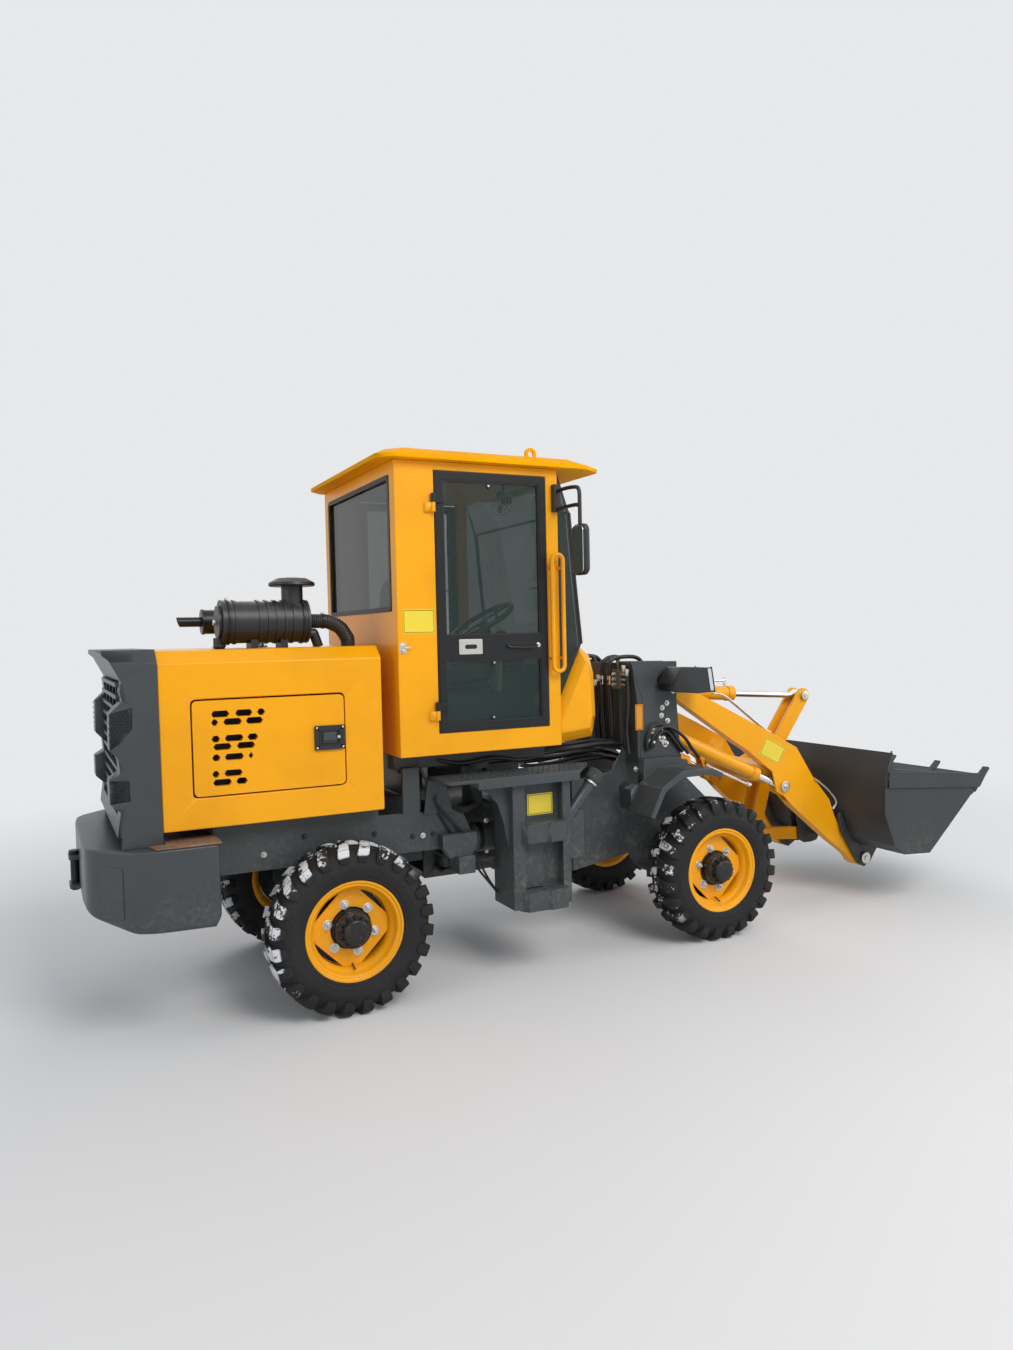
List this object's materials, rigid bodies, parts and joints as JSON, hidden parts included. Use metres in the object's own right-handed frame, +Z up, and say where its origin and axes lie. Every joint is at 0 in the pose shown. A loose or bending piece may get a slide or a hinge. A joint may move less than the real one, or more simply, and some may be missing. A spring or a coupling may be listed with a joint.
{
  "type": "articulated wheel loader",
  "caption": "Compact articulated wheel loader: centre-pivot frame, enclosed cab, rear engine hood with side doors, Z-linkage loader arms and toothed bucket.",
  "frame": {"origin": "on the ground under the middle of the whole length and width", "axes": "+X forwards to the bucket, +Y to the machine's left, +Z up"},
  "size_m": [5.5194, 1.78, 2.7359],
  "materials": {
    "yellow_paint": "satin",
    "grey_paint": "satin",
    "black_paint": "satin",
    "cast_grey": "rough",
    "engine_block": "rough",
    "tyre": "matte",
    "glass": "polished",
    "chrome": "polished",
    "black_plastic": "matte",
    "seat_cover": "satin"
  },
  "bodies": {
    "rear_frame": {"rear_chassis": "grey_paint", "counterweight": "cast_grey", "engine_hood": "yellow_paint", "rear_cowl": "grey_paint", "drivetrain": "engine_block", "air_cleaner": "black_plastic", "muffler": "black_paint", "cab_shell": "yellow_paint", "cab_roof": "yellow_paint", "nose_cowl": "yellow_paint", "cab_glass": "glass", "cab_floor": "black_plastic", "seat": "seat_cover", "steps": "grey_paint", "mirrors": "black_plastic", "grab_handles": "yellow_paint", "rear_axle": "grey_paint"},
    "front_frame": {"front_chassis": "grey_paint", "front_axle": "grey_paint", "front_fenders": "grey_paint", "headlamps": "black_plastic"},
    "boom": {"boom_arms": "yellow_paint"},
    "rocker": {"rocker": "yellow_paint"},
    "rocker_link": {"rocker_link": "yellow_paint"},
    "bucket": {"bucket": "grey_paint"},
    "tilt_barrel": {"tilt_barrel": "yellow_paint"},
    "tilt_rod": {"tilt_rod": "chrome"},
    "lift_barrels": {"lift_barrels": "yellow_paint"},
    "lift_rods": {"lift_rods": "chrome"},
    "steer_barrel_right": {"steer_barrel_right": "grey_paint"},
    "steer_barrel_left": {"steer_barrel_left": "grey_paint"},
    "steer_rod_right": {"steer_rod_right": "chrome"},
    "steer_rod_left": {"steer_rod_left": "chrome"},
    "cab_door_right": {"cab_door_right": "black_paint", "door_glass_right": "glass"},
    "cab_door_left": {"cab_door_left": "black_paint", "door_glass_left": "glass"},
    "hood_door_right": {"hood_door_right": "yellow_paint"},
    "hood_door_left": {"hood_door_left": "yellow_paint"},
    "wheel_front_left": {"tyre_front_left": "tyre", "rim_front_left": "yellow_paint"},
    "wheel_front_right": {"tyre_front_right": "tyre", "rim_front_right": "yellow_paint"},
    "wheel_rear_left": {"tyre_rear_left": "tyre", "rim_rear_left": "yellow_paint"},
    "wheel_rear_right": {"tyre_rear_right": "tyre", "rim_rear_right": "yellow_paint"}
  },
  "joints": [
    {"name": "steer", "type": "hinge", "parent": "rear_frame", "child": "front_frame", "pos_m": [-0.44974, 0, 0.65], "axis": [0, 0, 1], "range_deg": [-35, 35]},
    {"name": "spin_front_left", "type": "hinge", "parent": "front_frame", "child": "wheel_front_left", "pos_m": [0.58176, 0.593, 0.4025], "axis": [0, 1, 0], "continuous": true},
    {"name": "spin_front_right", "type": "hinge", "parent": "front_frame", "child": "wheel_front_right", "pos_m": [0.58176, -0.593, 0.4025], "axis": [0, 1, 0], "continuous": true},
    {"name": "spin_rear_left", "type": "hinge", "parent": "rear_frame", "child": "wheel_rear_left", "pos_m": [-1.58124, 0.593, 0.4025], "axis": [0, 1, 0], "continuous": true},
    {"name": "spin_rear_right", "type": "hinge", "parent": "rear_frame", "child": "wheel_rear_right", "pos_m": [-1.58124, -0.593, 0.4025], "axis": [0, 1, 0], "continuous": true},
    {"name": "boom_lift", "type": "hinge", "parent": "front_frame", "child": "boom", "pos_m": [0.38026, 0, 1.49], "axis": [0, -1, 0], "range_deg": [-3, 76]},
    {"name": "bucket_tilt", "type": "hinge", "parent": "boom", "child": "bucket", "pos_m": [2.00026, 0, 0.24], "axis": [0, 1, 0], "range_deg": [0, 100]},
    {"name": "rocker_swing", "type": "hinge", "parent": "boom", "child": "rocker", "pos_m": [1.52826, 0, 0.9145], "axis": [0, 1, 0], "range_deg": [-31.53, 0]},
    {"name": "link_swing", "type": "hinge", "parent": "rocker", "child": "rocker_link", "pos_m": [1.37526, 0, 0.398], "axis": [0, 1, 0], "range_deg": [0, 23.35]},
    {"name": "tilt_barrel_swing", "type": "hinge", "parent": "front_frame", "child": "tilt_barrel", "pos_m": [0.28026, 0, 1.413], "axis": [0, -1, 0], "range_deg": [-4.25, 71.92]},
    {"name": "tilt_rod_slide", "type": "slide", "parent": "tilt_barrel", "child": "tilt_rod", "axis": [0.9977, 0, -0.068], "range_m": [-0.25466, 0]},
    {"name": "lift_barrel_swing", "type": "hinge", "parent": "front_frame", "child": "lift_barrels", "pos_m": [0.39026, 0, 1.192], "axis": [0, -1, 0], "range_deg": [-4.49, 76.07]},
    {"name": "lift_rod_slide", "type": "slide", "parent": "lift_barrels", "child": "lift_rods", "axis": [0.9136, 0, -0.4067], "range_m": [-0.02219, 0.37584]},
    {"name": "steer_barrel_swing_right", "type": "hinge", "parent": "rear_frame", "child": "steer_barrel_right", "pos_m": [-0.92974, -0.215, 0.555], "axis": [0, 0, 1], "range_deg": [-0.95, 0.95]},
    {"name": "steer_rod_slide_right", "type": "slide", "parent": "steer_barrel_right", "child": "steer_rod_right", "axis": [1, 0, 0], "range_m": [-0.12825, 0.12825]},
    {"name": "cab_door_swing_right", "type": "hinge", "parent": "rear_frame", "child": "cab_door_right", "pos_m": [-1.10474, -0.605, 1.934], "axis": [0, 0, -1], "range_deg": [0, 100]},
    {"name": "hood_door_swing_right", "type": "hinge", "parent": "rear_frame", "child": "hood_door_right", "pos_m": [-2.27674, -0.572, 1.292], "axis": [0, 0, -1], "range_deg": [0, 100]},
    {"name": "steer_barrel_swing_left", "type": "hinge", "parent": "rear_frame", "child": "steer_barrel_left", "pos_m": [-0.92974, 0.215, 0.555], "axis": [0, 0, 1], "range_deg": [-0.95, 0.95]},
    {"name": "steer_rod_slide_left", "type": "slide", "parent": "steer_barrel_left", "child": "steer_rod_left", "axis": [1, 0, 0], "range_m": [-0.12825, 0.12825]},
    {"name": "cab_door_swing_left", "type": "hinge", "parent": "rear_frame", "child": "cab_door_left", "pos_m": [-1.10474, 0.605, 1.934], "axis": [0, 0, 1], "range_deg": [0, 100]},
    {"name": "hood_door_swing_left", "type": "hinge", "parent": "rear_frame", "child": "hood_door_left", "pos_m": [-2.27674, 0.572, 1.292], "axis": [0, 0, 1], "range_deg": [0, 100]}
  ],
  "couplings": [
    {"joint": "rocker_swing", "follows": "bucket_tilt", "ratio": -0.30914},
    {"joint": "link_swing", "follows": "bucket_tilt", "ratio": 0.22891},
    {"joint": "tilt_barrel_swing", "follows": "boom_lift", "ratio": 0.92705},
    {"joint": "tilt_rod_slide", "follows": "bucket_tilt", "m_per_rad": -0.14305},
    {"joint": "lift_barrel_swing", "follows": "boom_lift", "ratio": 0.98055},
    {"joint": "lift_rod_slide", "follows": "boom_lift", "m_per_rad": 0.27757},
    {"joint": "steer_barrel_swing_right", "follows": "steer", "ratio": -0.0226},
    {"joint": "steer_rod_slide_right", "follows": "steer", "m_per_rad": 0.20188},
    {"joint": "steer_barrel_swing_left", "follows": "steer", "ratio": -0.0226},
    {"joint": "steer_rod_slide_left", "follows": "steer", "m_per_rad": -0.20188}
  ]
}
